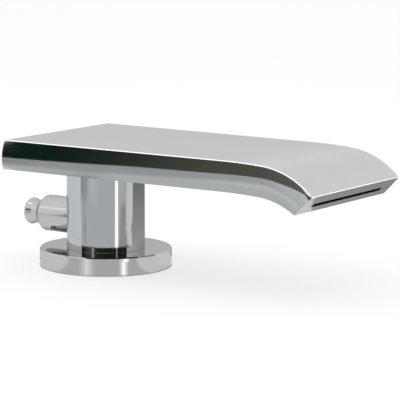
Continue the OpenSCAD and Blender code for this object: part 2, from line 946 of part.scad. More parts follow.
// Polished cover disc on the deck.
module base_flange() {
    inner = flange_radius - flange_rim;
    inner_height = flange_height - flange_top;
    hole = core_radius + fit_gap;
    color("silver")
        rotate_extrude()
            polygon([
                [hole, inner_height],
                [inner, inner_height],
                [inner, 0],
                [flange_radius, 0],
                [flange_radius, flange_height - flange_edge],
                [flange_radius - flange_edge, flange_height],
                [hole, flange_height]
            ]);
}

// Rubber ring between the core's foot and the base flange's rim, flush with the deck.
module deck_seal() {
    outer = flange_radius - flange_rim - fit_gap;
    inner = foot_radius + fit_gap;
    color("black")
        flat_ring(outer, inner, deck_seal_thickness);
}

// Diverter. Each piece is drawn outwards along +Z and turned to point along -X.

// Fixed bonnet: closes the bore, holds the spring and guides the knob.
module bonnet() {
    spigot = chamber_radius - fit_gap;
    spigot_bore = spigot - spigot_wall;
    step = bonnet_seat + spigot_step;
    gland_end = gland_start + gland_length;
    bore = knob_neck + running_gap;
    nose = knob_neck + bonnet_nose_width;
    color("silver")
        on_diverter()
            rotate_extrude()
                polygon([
                    [spigot_bore, gland_end],
                    [spigot, gland_end],
                    [spigot, bonnet_seat],
                    [bonnet_radius, bonnet_seat],
                    [bonnet_radius, bonnet_cone_start],
                    [nose, bonnet_end],
                    [bore, bonnet_end],
                    [bore, spring_room_end],
                    [spring_room, spring_room_end],
                    [spring_room, step],
                    [spigot_bore, step]
                ]);
}

// Gland that seals the spindle and the bore.
module gland_bush() {
    color("goldenrod")
        on_diverter()
            difference() {
                translate([0, 0, gland_start])
                    cylinder(r = chamber_radius - fit_gap, h = gland_length);
                cylinder(r = spindle_radius + running_gap, h = 2 * gland_start);
                translate([0, 0, seal_at - seal_section])
                    cylinder(
                        r = spindle_radius + running_gap + 2 * seal_section,
                        h = 2 * seal_section
                    );
                translate([0, 0, seal_at - seal_section])
                    difference() {
                        cylinder(r = chamber_radius + past, h = 2 * seal_section);
                        translate([0, 0, -past])
                            cylinder(
                                r = chamber_radius - 2 * seal_section,
                                h = 2 * seal_section + 2 * past
                            );
                    }
            }
}

// Ring seal between the gland and the core.
module gland_o_ring() {
    color("black")
        on_diverter()
            translate([0, 0, seal_at])
                ring_seal(chamber_radius - seal_section, seal_section);
}

// Ring seal between the gland and the spindle.
module spindle_o_ring() {
    color("black")
        on_diverter()
            translate([0, 0, seal_at])
                ring_seal(spindle_radius + running_gap + seal_section, seal_section);
}

// Cage with the outlet seat, and four windows that let the water up to the spout.
module seat_cage() {
    cage_radius = chamber_radius - fit_gap;
    window_at = cage_start + cage_seat + window_gap;
    length = gland_start - cage_start;
    color("goldenrod")
        on_diverter()
            difference() {
                translate([0, 0, cage_start])
                    cylinder(r = cage_radius, h = length);
                translate([0, 0, cage_start + cage_seat])
                    cylinder(r = cage_radius - cage_wall, h = length);
                translate([0, 0, cage_start - past])
                    cylinder(r = seat_hole, h = length);
                for (turn = [0, 90])
                    rotate([0, 0, turn])
                        translate([-chamber_radius, -window_width / 2, window_at])
                            cube([2 * chamber_radius, window_width, window_length]);
            }
}

// Spindle that joins the valve to the knob.
module spindle() {
    inner_end = valve_face + nut_height + thread_spare;
    color("silver")
        on_diverter()
            difference() {
                union() {
                    translate([0, 0, -inner_end])
                        cylinder(r = spindle_thread, h = inner_end + thread_end);
                    translate([0, 0, -valve_back])
                        cylinder(r = spindle_radius, h = valve_back + thread_start);
                    translate([0, 0, -valve_back])
                        cylinder(r = land_radius, h = land_length);
                }
                translate([0, 0, collar_back - clip_thickness])
                    flat_ring(2 * spindle_radius, clip_groove, clip_thickness);
            }
}

// Brass disc between the valve's two washers.
module valve_disc() {
    color("goldenrod")
        on_diverter()
            translate([0, 0, -valve_face + valve_washer_thickness])
                flat_ring(valve_radius, spindle_thread, disc_thickness);
}

// Rubber washers on both faces of the valve's disc.
module valve_washers() {
    color("black")
        on_diverter() {
            translate([0, 0, -valve_face])
                flat_ring(valve_radius, spindle_thread, valve_washer_thickness);
            translate([0, 0, -valve_back - valve_washer_thickness])
                flat_ring(valve_radius, spindle_thread, valve_washer_thickness);
        }
}

// Nut that clamps the valve's disc and washers on the spindle.
module valve_nut() {
    color("goldenrod")
        on_diverter()
            translate([0, 0, -valve_face - nut_height])
                difference() {
                    cylinder(r = nut_radius, h = nut_height, $fn = 6);
                    translate([0, 0, -past])
                        cylinder(r = spindle_thread, h = nut_height + 2 * past);
                }
}

// Flat ring standing on z = 0.
module flat_ring(outer, inner, height) {
    difference() {
        cylinder(r = outer, h = height);
        translate([0, 0, -past])
            cylinder(r = inner, h = height + 2 * past);
    }
}

// Collar that the spring presses on.
module spring_collar() {
    color("silver")
        on_diverter()
            translate([0, 0, collar_back])
                flat_ring(spring_room - collar_gap, spindle_radius, collar_thickness);
}

// Open clip in the spindle's groove, behind the collar.
module retaining_clip() {
    color("dimgray")
        on_diverter()
            translate([0, 0, collar_back - clip_thickness])
                difference() {
                    flat_ring(clip_radius, clip_groove, clip_thickness);
                    translate([0, -clip_mouth / 2, -past])
                        cube([2 * clip_radius, clip_mouth, clip_thickness + 2 * past]);
                }
}

// Spring that pushes the knob back in.
module return_spring() {
    length = spring_room_end - collar_at;
    pitch = length / spring_turns;
    half_steps = 5;
    spread = 360 * wire_radius / pitch;
    angles = [for (i = [-half_steps:half_steps]) spread * i / half_steps];
    halves = [for (a = angles) wire_radius * sqrt(max(0.01, 1 - (a / spread)^2))];
    outer = [for (i = [0:len(angles) - 1])
        (spring_radius + halves[i]) * [cos(angles[i]), sin(angles[i])]];
    inner = [for (i = [len(angles) - 1:-1:0])
        (spring_radius - halves[i]) * [cos(angles[i]), sin(angles[i])]];
    color("silver")
        on_diverter()
            translate([0, 0, collar_at])
                linear_extrude(
                    height = length, twist = -360 * spring_turns,
                    slices = 20 * spring_turns, $fn = 12
                )
                    polygon(concat(outer, inner));
}

// Pull-out knob, screwed on the spindle's outer end.
module diverter_knob() {
    rim_centre = [knob_rim - knob_rounding, knob_end - knob_rounding];
    color("silver")
        on_diverter()
            rotate_extrude() {
                polygon([
                    [spindle_radius, knob_start],
                    [knob_neck, knob_start],
                    [knob_neck, knob_flare_start],
                    [knob_rim, knob_rim_at],
                    [knob_rim, rim_centre.y],
                    [rim_centre.x, rim_centre.y],
                    [rim_centre.x, knob_end],
                    [0, knob_end],
                    [0, thread_end],
                    [spindle_thread, thread_end],
                    [spindle_thread, thread_start],
                    [spindle_radius, thread_start]
                ]);
                intersection() {
                    translate(rim_centre)
                        circle(r = knob_rounding);
                    translate(rim_centre)
                        square(2 * knob_rounding);
                }
            }
}

spout_shell();
under_plate();
under_plate_screws();
channel_tray();
channel_gasket();
channel_lid();
lid_pads();
flow_spreader();
flow_comb();
nozzle_insert();
hollow_bolt();
bolt_washer();
spacer_ring();
riser_o_ring();
locating_pins();
column_sleeve();
column_core();
base_flange();
deck_seal();
bonnet();
gland_bush();
gland_o_ring();
spindle_o_ring();
seat_cage();
spindle();
valve_disc();
valve_washers();
valve_nut();
spring_collar();
retaining_clip();
return_spring();
diverter_knob();
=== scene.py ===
"""Waterfall bath spout with a pull-out diverter knob, dressed for rendering.

Sizes are in millimetres in the classes and become metres when a mesh is finished.
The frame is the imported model's: X runs to the spout's tip, Z is up, and the origin is
the centre of the base flange's underside, on the deck.
"""

import json
import logging
import math
from dataclasses import dataclass, field
from enum import Enum
from functools import cache
from typing import Sequence

import bmesh
import bpy
from mathutils import Matrix, Vector

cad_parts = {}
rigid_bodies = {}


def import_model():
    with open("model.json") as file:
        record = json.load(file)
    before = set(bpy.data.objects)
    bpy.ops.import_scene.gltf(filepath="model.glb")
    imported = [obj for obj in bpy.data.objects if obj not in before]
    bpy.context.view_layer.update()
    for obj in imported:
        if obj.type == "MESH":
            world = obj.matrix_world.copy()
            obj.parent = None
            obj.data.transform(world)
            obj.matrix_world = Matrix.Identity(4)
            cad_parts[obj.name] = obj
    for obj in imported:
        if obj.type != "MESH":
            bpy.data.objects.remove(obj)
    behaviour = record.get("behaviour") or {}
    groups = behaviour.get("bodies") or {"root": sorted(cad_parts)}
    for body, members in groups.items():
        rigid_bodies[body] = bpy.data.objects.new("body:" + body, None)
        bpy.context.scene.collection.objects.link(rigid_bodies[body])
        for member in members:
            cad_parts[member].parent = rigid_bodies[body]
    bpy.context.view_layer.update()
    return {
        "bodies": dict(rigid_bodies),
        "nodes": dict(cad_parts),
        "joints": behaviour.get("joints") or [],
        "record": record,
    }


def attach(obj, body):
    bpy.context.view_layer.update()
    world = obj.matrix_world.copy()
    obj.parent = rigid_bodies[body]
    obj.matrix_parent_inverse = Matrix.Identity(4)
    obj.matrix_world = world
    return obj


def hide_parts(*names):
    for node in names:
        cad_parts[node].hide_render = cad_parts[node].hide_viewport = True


LOG = logging.getLogger("spout")
MM = 0.001
NEAR = 0.0005  # points this close are one point, in millimetres
Point2 = tuple[float, float]
Colour = tuple[float, float, float]
Corner = tuple[float, float, float]  # radius, height and rounding of a turned profile
Node = bpy.types.Node
Rows = Sequence[Sequence[Vector]]
Piece = bpy.types.Object


class Body(Enum):
    """Bodies that pieces ride on."""

    SPOUT = "spout"
    DIVERTER = "diverter"


class Slot(Enum):
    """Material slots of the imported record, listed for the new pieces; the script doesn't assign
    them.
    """

    POLISHED = "polished_chrome"
    COLUMN = "column_chrome"
    FLANGE = "flange_chrome"
    KNOB = "knob_chrome"
    OUTLET = "outlet_polymer"


class Texture(Enum):
    """Ways a finish's grain runs, with the stretch of the grain on each axis."""

    POLISHED = (1.0, 9.0, 9.0)
    TURNED = (0.25, 0.25, 14.0)
    MOULDED = (1.0, 1.0, 1.0)
    FIBROUS = (6.0, 1.0, 3.0)


# Materials

class NodeSheet:
    """One node tree, with short calls to add nodes."""

    def __init__(self, owner: bpy.types.Material | bpy.types.World) -> None:
        """Take over and empty a node tree.

        Args:
            owner: the tree's material or world.
        """
        owner.use_nodes = True
        self.tree = owner.node_tree
        self.tree.nodes.clear()

    def add(self, kind: str, *ordered: object, **named: object) -> Node:
        """Add a node and fill its sockets.

        A socket takes a value, another socket, or another node's first output.

        Args:
            kind: Blender's name for the node type, without ShaderNode.
            ordered: what the first sockets take.
            named: what other sockets take, by name, with _ for a space, and the node's own
                settings, whose names are in small letters.

        Returns:
            The new node.
        """
        node = self.tree.nodes.new("ShaderNode" + kind)
        for key, source in (*enumerate(ordered), *named.items()):
            if isinstance(source, Node):
                source = source.outputs[0]
            if str(key).islower():
                setattr(node, key, source)
                continue
            target = node.inputs[key.replace("_", " ") if isinstance(key, str) else key]
            if isinstance(source, bpy.types.NodeSocket):
                self.tree.links.new(source, target)
            else:
                target.default_value = source
        return node

    def noise(self, scale: float, detail: float, stretch: Colour = (1, 1, 1),
              distortion: float = 0.0) -> Node:
        """Add a noise texture in the object's own coordinates.

        Args:
            scale: size of the noise, in waves per metre.
            detail: octaves of finer noise.
            stretch: factor on each axis of the coordinates.
            distortion: how much the noise is warped.

        Returns:
            The noise.
        """
        place = self.add("TexCoord").outputs["Object"]
        mapped = self.add("Mapping", Vector=place, Scale=stretch)
        return self.add("TexNoise", Vector=mapped, Scale=scale, Detail=detail,
                        Roughness=0.55, Distortion=distortion)

    def ramp(self, value: Node, stops: Sequence[tuple[float, Colour]]) -> Node:
        """Turn a value into a colour.

        Args:
            value: the value, from 0 to 1.
            stops: two values in rising order, each with its colour.

        Returns:
            The ramp.
        """
        node = self.add("ValToRGB", value)
        for element, (place, colour) in zip(node.color_ramp.elements, stops):
            element.position = place
            element.color = (*colour, 1.0)
        return node


@dataclass(frozen=True)
class Finish:
    """A surface finish, turned into one procedural material.

    The colour, roughness and relief all vary over the surface; the numbers here say how.
    The relief is in micrometres, and the grain in waves per metre.
    """

    name: str
    dark: Colour
    light: Colour
    roughness: Point2
    relief: float
    texture: Texture = Texture.TURNED
    metallic: float = 1.0
    grain: float = 900.0
    edge_tint: float = 1.0
    specular: float = 0.5

    @cache
    def material(self) -> bpy.types.Material:
        """Build the finish's material, once.

        Returns:
            The material.
        """
        material = bpy.data.materials.new(self.name)
        sheet = NodeSheet(material)
        cloud = sheet.noise(scale=38.0, detail=4.0)
        smear = sheet.noise(scale=95.0, detail=5.0, stretch=(1.0, 1.6, 1.0), distortion=0.6)
        grain = sheet.noise(scale=self.grain, detail=3.0, stretch=self.texture.value)
        depth = self.relief * MM * MM
        fine = sheet.add("Bump", Height=grain, Strength=1.0, Distance=depth)
        wave = sheet.add("Bump", Height=sheet.noise(scale=22.0, detail=1.0), Strength=1.0,
                         Distance=depth * 2.0, Normal=fine)
        low, high = self.roughness
        shader = sheet.add(
            "BsdfPrincipled", Metallic=self.metallic, Normal=wave,
            Base_Color=sheet.ramp(cloud, ((0.3, self.dark), (0.7, self.light))),
            Roughness=sheet.add("MapRange", smear, From_Min=0.3, From_Max=0.7, To_Min=low,
                                To_Max=high),
            Specular_IOR_Level=self.specular, Specular_Tint=(*(self.edge_tint,) * 3, 1.0))
        sheet.add("OutputMaterial", shader)
        return material


class Wardrobe:
    """All the finishes of the spout."""

    CHROME = Finish("polished_chrome", (0.585, 0.590, 0.588), (0.610, 0.616, 0.612),
                    (0.035, 0.075), 0.4, Texture.POLISHED, edge_tint=0.85)
    TUBE = Finish("tube_chrome", (0.535, 0.545, 0.552), (0.556, 0.566, 0.572),
                  (0.03, 0.065), 0.4, edge_tint=0.82)
    DISC = Finish("disc_chrome", (0.535, 0.540, 0.545), (0.556, 0.562, 0.566),
                  (0.03, 0.07), 0.4, edge_tint=0.78)
    SATIN = Finish("knob_chrome", (0.515, 0.515, 0.515), (0.540, 0.540, 0.540),
                   (0.06, 0.09), 0.6, edge_tint=0.62)
    STEEL = Finish("stainless_steel", (0.46, 0.45, 0.43), (0.56, 0.55, 0.53),
                   (0.22, 0.36), 2.0)
    SPRING = Finish("spring_steel", (0.38, 0.38, 0.39), (0.50, 0.50, 0.50),
                    (0.28, 0.42), 3.0, Texture.POLISHED)
    BRASS = Finish("cast_brass", (0.60, 0.40, 0.15), (0.76, 0.55, 0.24), (0.24, 0.42), 4.0)
    POLYMER = Finish("grey_acetal", (0.055, 0.058, 0.062), (0.075, 0.078, 0.082),
                     (0.38, 0.52), 4.0, Texture.MOULDED, metallic=0.0, grain=2400.0)
    # partly the black outlet polymer, partly painted shade: near-black and almost unreflective,
    # so the slot reads dark
    OUTLET = Finish("black_outlet_polymer_and_slot_shade", (0.004, 0.004, 0.004), (0.009, 0.009, 0.009),
                    (0.70, 0.85), 4.0, Texture.MOULDED, metallic=0.0, grain=2600.0,
                    specular=0.03)
    FIBRE = Finish("red_fibre", (0.20, 0.035, 0.025), (0.32, 0.060, 0.040),
                   (0.65, 0.85), 10.0, Texture.FIBROUS, metallic=0.0, grain=1400.0)
    RUBBER = Finish("seal_rubber", (0.012, 0.012, 0.013), (0.024, 0.024, 0.025),
                    (0.55, 0.75), 5.0, Texture.MOULDED, metallic=0.0, grain=3000.0)


def dress(piece: Piece, finish: Finish) -> None:
    """Put one finish on every slot of a piece.

    Args:
        piece: the piece.
        finish: its finish.
    """
    if not piece.material_slots:
        piece.data.materials.append(None)
    for slot in piece.material_slots:
        slot.material = finish.material()


def fit(piece: Piece, finish: Finish, body: Body, slot: Slot, node: str = "") -> None:
    """Dress a finished piece and say what it belongs to.

    Args:
        piece: the piece.
        finish: its finish.
        body: the body that it rides on.
        slot: the record's material slot; not used.
        node: the CAD node that it stands for, if any.
    """
    dress(piece, finish)
    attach(piece, body.value)
    if node:
        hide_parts(node)
    LOG.info("%s: %d faces in %s", piece.name, len(piece.data.polygons), finish.name)


# Mesh tools

def span(start: float, end: float, steps: int) -> list[float]:
    """Return the evenly stepped values from start to end."""
    return [start + (end - start) * i / steps for i in range(steps + 1)]


def polar(radius: float, angle: float, height: float) -> Vector:
    """Return a point by its distance from the column, its angle in degrees and height."""
    turn = math.radians(angle)
    return Vector((radius * math.cos(turn), radius * math.sin(turn), height))


def circle(radius: float, height: float, segments: int) -> list[Vector]:
    """Return a level circle's points, with the first one repeated at the end."""
    return [polar(radius, angle, height) for angle in span(0, 360, segments)]


@dataclass
class Form:
    """A mesh in the making, in millimetres."""

    name: str
    mesh: bmesh.types.BMesh = field(default_factory=bmesh.new)

    def patch(self, rows: Rows) -> "Form":
        """Add a grid of quads.

        Args:
            rows: rows of points; every row has the same number of them.

        Returns:
            The form.
        """
        grid = [[self.mesh.verts.new(point) for point in row] for row in rows]
        for upper, lower in zip(grid, grid[1:]):
            for i in range(len(upper) - 1):
                self.mesh.faces.new([upper[i], upper[i + 1], lower[i + 1], lower[i]])
        return self

    def plug(self, rings: Rows) -> "Form":
        """Add a solid from rings whose last point repeats the first, with capped ends.

        Args:
            rings: the rings.

        Returns:
            The form.
        """
        for ring in (rings[0], rings[-1]):
            self.mesh.faces.new([self.mesh.verts.new(point) for point in ring[:-1]])
        return self.patch(rings)

    def weld(self) -> None:
        """Join the patches where their points meet, and turn all faces outwards."""
        bmesh.ops.remove_doubles(self.mesh, verts=self.mesh.verts, dist=NEAR)
        bmesh.ops.dissolve_degenerate(self.mesh, edges=self.mesh.edges, dist=NEAR)
        bmesh.ops.recalc_face_normals(self.mesh, faces=self.mesh.faces)

    def piece(self, place: Matrix = Matrix(), welded: bool = True) -> Piece:
        """Finish the mesh as an object in metres.

        Args:
            place: where the mesh goes, in millimetres, if it isn't there yet.
            welded: whether its patches are joined.

        Returns:
            The new object, linked to the scene.
        """
        if welded:
            self.weld()
        move = Matrix.Scale(MM, 4) @ place
        bmesh.ops.transform(self.mesh, matrix=move, verts=self.mesh.verts)
        data = bpy.data.meshes.new(self.name)
        self.mesh.to_mesh(data)
        self.mesh.free()
        made = bpy.data.objects.new(self.name, data)
        bpy.context.scene.collection.objects.link(made)
        return made


def modify(piece: Piece, kind: str, **settings: object) -> None:
    """Give a piece a modifier.

    Args:
        piece: the piece.
        kind: Blender's name for the modifier.
        settings: the modifier's settings.
    """
    modifier = piece.modifiers.new(kind, kind)
    for name, value in settings.items():
        setattr(modifier, name, value)


def settle(piece: Piece) -> None:
    """Apply all of a piece's modifiers to its mesh.

    Args:
        piece: the piece.
    """
    bpy.context.view_layer.update()
    seen = piece.evaluated_get(bpy.context.evaluated_depsgraph_get())
    old, name = piece.data, piece.data.name
    data = bpy.data.meshes.new_from_object(seen)
    piece.modifiers.clear()
    piece.data = data
    bpy.data.meshes.remove(old)
    data.name = name


def cut(piece: Piece, tools: Sequence[Piece]) -> None:
    """Take other objects' shapes away from a piece, and delete them.

    Args:
        piece: the piece.
        tools: the other objects.
    """
    for tool in tools:
        modify(piece, "BOOLEAN", operation="DIFFERENCE", solver="EXACT", object=tool)
    settle(piece)
    for data in [tool.data for tool in tools]:
        bpy.data.meshes.remove(data)


def smooth(piece: Piece, angle: float = 35.0) -> None:
    """Shade a piece smooth, with its large faces kept flat.

    Args:
        piece: the piece.
        angle: largest edge angle that is shaded smooth, in degrees.
    """
    for face in piece.data.polygons:
        face.use_smooth = True
    piece.data.set_sharp_from_angle(angle=math.radians(angle))
    modify(piece, "WEIGHTED_NORMAL", mode="FACE_AREA", weight=80, keep_sharp=True)
    settle(piece)


@dataclass
class Turning:
    """A turned piece: a closed profile swept round an axis."""

    name: str
    corners: Sequence[Corner]
    segments: int = 160
    arc_steps: int = 5

    def outline(self) -> list[Vector]:
        """Round the profile's corners.

        Returns:
            The closed profile's points, with the first one repeated at the end.
        """
        points: list[Vector] = []
        spots = [Vector(corner[:2]) for corner in self.corners]
        for i, (here, (_, _, rounding)) in enumerate(zip(spots, self.corners)):
            back, ahead = spots[i - 1] - here, spots[(i + 1) % len(spots)] - here
            if rounding:
                points += self.arc(here, back, ahead, rounding)
            else:
                points.append(here)
        return points + points[:1]

    def arc(self, here: Vector, back: Vector, ahead: Vector, rounding: float) -> list[Vector]:
        """Round one corner.

        Args:
            here: the corner.
            back: the way to the corner before it.
            ahead: the way to the corner after it.
            rounding: the arc's radius.

        Returns:
            Points along the arc.
        """
        slope = math.tan(back.angle(ahead) / 2)
        reach = min(rounding / slope, 0.9 * back.length, 0.9 * ahead.length)
        back, ahead = back.normalized(), ahead.normalized()
        centre = here + (back + ahead).normalized() * math.hypot(reach, reach * slope)
        first, last = here + back * reach - centre, here + ahead * reach - centre
        swing = first.angle_signed(last) / self.arc_steps
        return [centre + Matrix.Rotation(-swing * step, 2) @ first
                for step in range(self.arc_steps + 1)]

    def piece(self, place: Matrix = Matrix()) -> Piece:
        """Turn the profile and return the finished piece, moved into its place."""
        rings = [circle(point.x, point.y, self.segments) for point in self.outline()]
        return Form(self.name).patch(rings).piece(place)


# Sub-assemblies

@dataclass
class SpoutPath:
    """The spout's side view: a straight part, a gentle bend and a tight one."""

    top_height: float = 68.8
    thickness: float = 15.3
    straight: float = 101.6
    gentle_radius: float = 295.0
    tip_radius: float = 45.0
    under_tip_radius: float = 42.2
    tip_angle: float = math.radians(40.4)
    joint: Point2 = (0.07584, 0.99712)

    def __post_init__(self) -> None:
        """Work out the bends' centres in side view."""
        joint = Vector(self.joint)
        inner = self.gentle_radius - self.thickness
        self.gentle_angle = math.atan2(joint.x, joint.y)
        self.gentle_centre = Vector((self.straight, self.top_height - self.gentle_radius))
        self.tip_centre = self.gentle_centre + (self.gentle_radius - self.tip_radius) * joint
        self.under_centre = self.gentle_centre + (inner - self.under_tip_radius) * joint
        self.bend = self.straight + self.gentle_radius * self.gentle_angle
        self.length = self.bend + self.tip_radius * self.tip_angle

    def frame(self, place: float) -> tuple[Vector, Vector]:
        """Find a place on the top face in side view.

        Args:
            place: distance along the top face.

        Returns:
            The point there, and the way up out of the face.
        """
        if place <= self.straight:
            return Vector((place, self.top_height)), Vector((0.0, 1.0))
        if place <= self.bend:
            angle = (place - self.straight) / self.gentle_radius
            centre, radius = self.gentle_centre, self.gentle_radius
        else:
            angle = self.gentle_angle + (place - self.bend) / self.tip_radius
            centre, radius = self.tip_centre, self.tip_radius
        up = Vector((math.sin(angle), math.cos(angle)))
        return centre + radius * up, up

    def depth(self, place: float) -> float:
        """Measure the spout's thickness.

        Args:
            place: distance along the top face.

        Returns:
            The thickness there.
        """
        if place <= self.bend:
            return self.thickness
        gap = self.tip_centre - self.under_centre
        along = gap.dot(self.frame(place)[1])
        reach = -along + math.sqrt(along ** 2 - gap.length_squared + self.under_tip_radius ** 2)
        return self.tip_radius - reach

    def point(self, place: float, depth: float, side: float) -> Vector:
        """Return a point by its place along the spout, its depth and its distance to the side."""
        top, up = self.frame(place)
        spot = top - depth * up
        return Vector((spot.x, side, spot.y))

    def end_point(self, down: float, out: float, side: float) -> Vector:
        """Return a point by its way down the end face, out of it and to the side."""
        top, up = self.frame(self.length)
        spot = top - down * up + out * Vector((up.y, -up.x))
        return Vector((spot.x, side, spot.y))

    def stations(self, start: float, end: float) -> list[float]:
        """Choose places along the spout, closer together in the bends.

        Args:
            start: the first place, on the straight part.
            end: the last place, in the tight bend.

        Returns:
            The places.
        """
        return (span(start, self.straight, 14)[:-1] + [self.straight - 0.5]
                + span(self.straight, self.bend, 6)[:-1] + span(self.bend, end, 28))


@dataclass
class Spout:
    """The plate-like spout: a smooth shell with crowned sides, its bosses and its slot."""

    path: SpoutPath = field(default_factory=SpoutPath)
    half_width: float = 45.55
    back: float = 32.9
    side_taper: float = math.radians(0.8)
    crown_radius: float = 38.0
    crown_depth: float = 9.5
    edge_flat: float = 0.42
    end_flat: float = 0.34
    easing: float = 0.08
    sharp_angle: float = math.radians(25.0)
    top_wall: float = 2.0
    side_wall: float = 3.2
    back_wall: float = 3.6
    hollow_clear: float = 2.0
    under_thickness: float = 2.0
    end_wall_angle: float = math.radians(4.0)
    slot_length: float = 67.0
    slot_height: float = 2.6
    slot_depth: float = 7.8
    slot_lip: float = 0.04
    tool_reach: Point2 = (-5.0, 0.02)
    lining_wall: float = 0.25
    lining_gap: float = 0.01
    lining_depth: float = 2.9
    boss_radius: float = 3.5
    boss_hole: float = 1.5
    boss_hole_top: float = 61.5
    boss_inset: float = 4.2
    boss_places: tuple[float, ...] = (-24.0, 28.0, 80.0)
    rows: int = 16

    def inset(self, depth: float) -> float:
        """Return how far the crown has drawn in at a depth below the top."""
        return self.crown_radius - math.sqrt(
            self.crown_radius ** 2 - (depth - self.crown_depth) ** 2)

    def half(self, place: float, depth: float) -> float:
        """Return the half width at a place along the spout and a depth."""
        along = self.path.point(place, depth, 0).x
        return self.half_width - self.inset(depth) - along * math.tan(self.side_taper)

    def inner_half(self, along: float) -> float:
        """Return the inner half width of the shell at a place on X."""
        return self.half_width - self.side_wall - along * math.tan(self.side_taper)

    def spot(self, place: float, depth: float, across: float) -> Vector:
        """Find a point of the outer skin, whose back end follows the crown.

        Args:
            place: station along the spout, as if the back end were upright.
            depth: depth below the top face.
            across: share of the half width, from -1 to 1.

        Returns:
            The point.
        """
        path = self.path
        if place < path.straight:
            share = (path.straight - place) / (path.straight + self.back)
            place += share * self.inset(depth)
        return path.point(place, depth, across * self.half(place, depth))

    def top_spot(self, place: float, across: float) -> Vector:
        """Find a point of the top face, drawn in by the polished flat round it.

        Args:
            place: station along the spout.
            across: share of the half width, from -1 to 1.

        Returns:
            The point.
        """
        shift = self.edge_flat - (self.inset(0.0) - self.inset(self.edge_flat))
        edge = self.spot(place, 0.0, 1.0)
        point = self.spot(place, 0.0, across * (edge.y - shift) / edge.y)
        if place == -self.back:
            point.x += shift
        return point

    def side_depths(self, place: float) -> list[float]:
        """Return the depths of a side's rows of points, from the polished flat down."""
        return span(self.edge_flat, self.path.depth(place), self.rows)

    def skin(self) -> Form:
        """Build the closed outer form, with the polished flats along its upper edges.

        Returns:
            The form.
        """
        form = Form("spout_shell_skin")
        path, flat = self.path, self.edge_flat
        places = path.stations(-self.back, path.length)
        shares = span(-1, 1, self.rows)
        top = [[self.top_spot(place, share) for share in shares] for place in places]
        form.patch(top)
        form.patch([[self.spot(place, path.depth(place), share) for share in shares]
                    for place in places])
        for edge, side in ((0, -1.0), (-1, 1.0)):
            form.patch([[self.spot(place, depth, side) for depth in self.side_depths(place)]
                        for place in places])
            form.patch([[row[edge], self.spot(place, flat, side)]
                        for place, row in zip(places, top)])
        for place, row in ((places[0], top[0]), (places[-1], top[-1])):
            form.patch([row] + [[self.spot(place, depth, share) for share in shares]
                                for depth in self.side_depths(place)])
        form.weld()
        corner, across = path.point(path.length, 0.0, 0.0), Vector((0.0, 1.0, 0.0))
        chosen = [edge for edge in form.mesh.edges
                  if all((v.co - corner).cross(across).length < 4 * NEAR
                         for v in edge.verts)]
        bmesh.ops.bevel(form.mesh, geom=chosen, offset=self.end_flat, segments=1,
                        affect="EDGES", profile=0.5)
        return form

    def hollow(self) -> Piece:
        """Build the block that is cut out of the shell from below.

        Returns:
            The block.
        """
        path = self.path
        high, low = self.top_wall, path.thickness + self.hollow_clear
        loops = []
        for place in path.stations(self.back_wall - self.back,
                                   path.length - self.end_wall_angle * path.tip_radius):
            loop = []
            for depth, side in ((high, -1), (high, 1), (low, 1), (low, -1), (high, -1)):
                along = path.point(place, depth, 0).x
                loop.append(path.point(place, depth, side * self.inner_half(along)))
            loops.append(loop)
        return Form("shell_hollow").plug(loops).piece()

    def slot_rings(self, layers: Sequence[Point2], steps: int) -> list[list[Vector]]:
        """Lay out round-ended rings that run parallel to the end face, round the slot.

        Args:
            layers: how far each ring stands out of the end face, and its half height.
            steps: points round each ring.

        Returns:
            The rings.
        """
        half_run = (self.slot_length - self.slot_height) / 2
        rings = []
        for out, half in layers:
            ring = []
            for turn in span(0, 2 * math.pi, steps):
                side = math.copysign(half_run, math.sin(turn + 1e-9)) + half * math.sin(turn)
                down = self.slot_depth - half * math.cos(turn)
                ring.append(self.path.end_point(down, out, side))
            rings.append(ring)
        return rings

    def slot_tool(self) -> Piece:
        """Build the tool that cuts the slot, flared at its mouth.

        Returns:
            The tool.
        """
        half, lip = self.slot_height / 2, self.slot_lip
        start, end = self.tool_reach
        layers = ((start, half), (-lip, half), (end, half + lip))
        return Form("slot_tool").plug(self.slot_rings(layers, 32)).piece()

    def slot_lining(self) -> Piece:
        """Build the thin black lining of the slot, a little inside its mouth: partly the black
        outlet polymer, partly painted shade, near-black and barely reflective so the slot reads
        dark.

        Returns:
            The lining.
        """
        back, front = -self.lining_depth, -self.slot_lip
        outer = self.slot_height / 2 - self.lining_gap
        inner = outer - self.lining_wall
        layers = ((back, outer), (front, outer), (front, inner), (back, inner), (back, outer))
        return Form("slot_lining").patch(self.slot_rings(layers, 48)).piece()

    def bosses(self) -> Piece:
        """Build the six screw bosses under the shell's top.

        Returns:
            The bosses.
        """
        form = Form("bosses")
        low = self.path.top_height - self.path.thickness + self.under_thickness
        high = self.path.top_height - self.top_wall / 2
        profile = ((self.boss_hole, self.boss_hole_top), (self.boss_hole, low),
                   (self.boss_radius, low), (self.boss_radius, high))
        for x in self.boss_places:
            for side in (-1, 1):
                centre = Vector((x, side * (self.inner_half(x) - self.boss_inset), 0.0))
                form.plug([[centre + point for point in circle(radius, height, 48)]
                           for radius, height in profile])
        return form.piece()

    def build(self) -> None:
        """Make the shell with its hollow and slot, the bosses and the slot's lining."""
        shell = self.skin().piece()
        modify(shell, "BEVEL", width=self.easing * MM, segments=3, limit_method="ANGLE",
               angle_limit=self.sharp_angle)
        settle(shell)
        cut(shell, (self.hollow(), self.slot_tool()))
        shell.name = "shell_polished"
        bosses, lining = self.bosses(), self.slot_lining()
        bosses.name = "shell_bosses"
        for piece, finish, slot, node in (
                (shell, Wardrobe.CHROME, Slot.POLISHED, "spout_shell"),
                (bosses, Wardrobe.CHROME, Slot.POLISHED, "spout_shell"),
                (lining, Wardrobe.OUTLET, Slot.OUTLET, "")):
            smooth(piece)
            fit(piece, finish, Body.SPOUT, slot, node)


